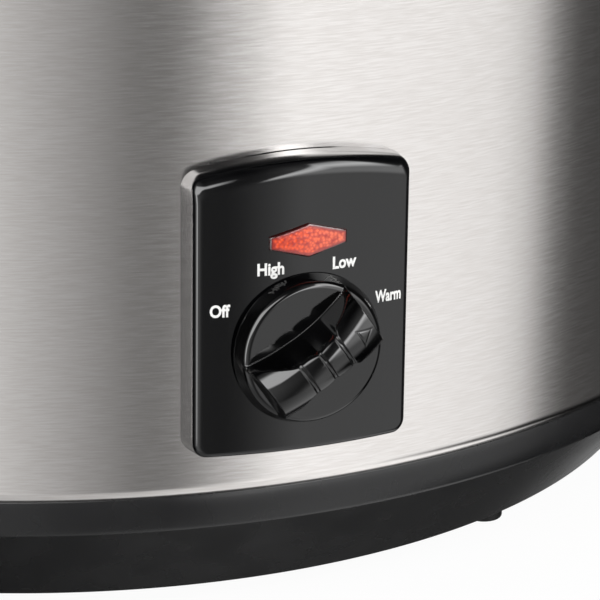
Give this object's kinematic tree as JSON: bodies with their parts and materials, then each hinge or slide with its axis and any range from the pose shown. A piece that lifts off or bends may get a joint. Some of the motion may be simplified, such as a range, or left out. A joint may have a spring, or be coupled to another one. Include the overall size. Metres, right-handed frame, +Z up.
{
  "type": "oval slow cooker",
  "caption": "Oval slow cooker with a brushed steel housing, black skirt, rotary control with pilot light, lift-out stoneware crock and glass lid.",
  "frame": {"origin": "on the table, under the middle of the overall length and overall depth (knob grip to cord gland)", "axes": "+X to the right seen from the front, +Y to the back, +Z up; the control panel faces -Y"},
  "size_m": [0.456, 0.3152, 0.2673],
  "materials": {
    "skirt_plastic": "satin moulded polypropylene",
    "plated_sheet": "galvanised sheet",
    "zinc_steel": "zinc plated",
    "foot_rubber": "matt",
    "housing_steel": "fine horizontal brushing",
    "pot_aluminium": "drawn sheet",
    "heater_mica": "mica and foil strip",
    "spring_steel": "bright",
    "reflector_aluminium": "bright sheet",
    "fuse_ceramic": "matt",
    "panel_plastic": "gloss black",
    "lens_plastic": "translucent red",
    "lamp_glass": "clear",
    "cream_plastic": "matt",
    "switch_body": "matt phenolic",
    "terminal_brass": "bright",
    "lead_silicone": "silicone sleeving",
    "gland_rubber": "matt",
    "black_nylon": "matt",
    "handle_plastic": "satin phenolic",
    "shaft_steel": "turned",
    "knob_plastic": "satin black",
    "crock_glaze": "black glazed stoneware",
    "lid_glass": "toughened clear",
    "rim_steel": "polished"
  },
  "bodies": {
    "cooker": {"base_tray": "skirt_plastic", "bottom_plate": "plated_sheet", "plate_screws": "zinc_steel", "feet": "foot_rubber", "housing_wrap": "housing_steel", "inner_pot": "pot_aluminium", "heater_band": "heater_mica", "heater_clips": "spring_steel", "base_reflector": "reflector_aluminium", "tie_bolt": "zinc_steel", "tie_nuts": "zinc_steel", "thermal_fuse": "fuse_ceramic", "fuse_clip": "spring_steel", "control_bezel": "panel_plastic", "bezel_screws": "zinc_steel", "pilot_lens": "lens_plastic", "neon_lamp": "lamp_glass", "lamp_holder": "cream_plastic", "rotary_switch": "switch_body", "switch_terminals": "terminal_brass", "switch_nut": "zinc_steel", "lead_wires": "lead_silicone", "cord_gland": "gland_rubber", "gland_nut": "black_nylon", "handle_left": "handle_plastic", "handle_right": "handle_plastic", "handle_screws": "zinc_steel", "handle_washers": "zinc_steel"},
    "knob": {"switch_shaft": "shaft_steel", "control_knob": "knob_plastic", "knob_clip": "spring_steel"},
    "crock_pot": {"crock": "crock_glaze"},
    "lid": {"lid_glass": "lid_glass", "lid_rim": "rim_steel", "lid_knob": "handle_plastic", "lid_ferrule": "rim_steel", "lid_screw": "zinc_steel", "lid_washer": "foot_rubber", "vent_grommet": "rim_steel"}
  },
  "joints": [
    {"name": "knob_turn", "type": "hinge", "parent": "cooker", "child": "knob", "pos_m": [0, -0.13145, 0.0875], "axis": [0, -1, 0], "range_deg": [0, 120]},
    {"name": "crock_lift", "type": "slide", "parent": "cooker", "child": "crock_pot", "axis": [0, 0, 1], "range_m": [0, 0.2]},
    {"name": "lid_lift", "type": "slide", "parent": "crock_pot", "child": "lid", "axis": [0, 0, 1], "range_m": [0, 0.12]}
  ]
}
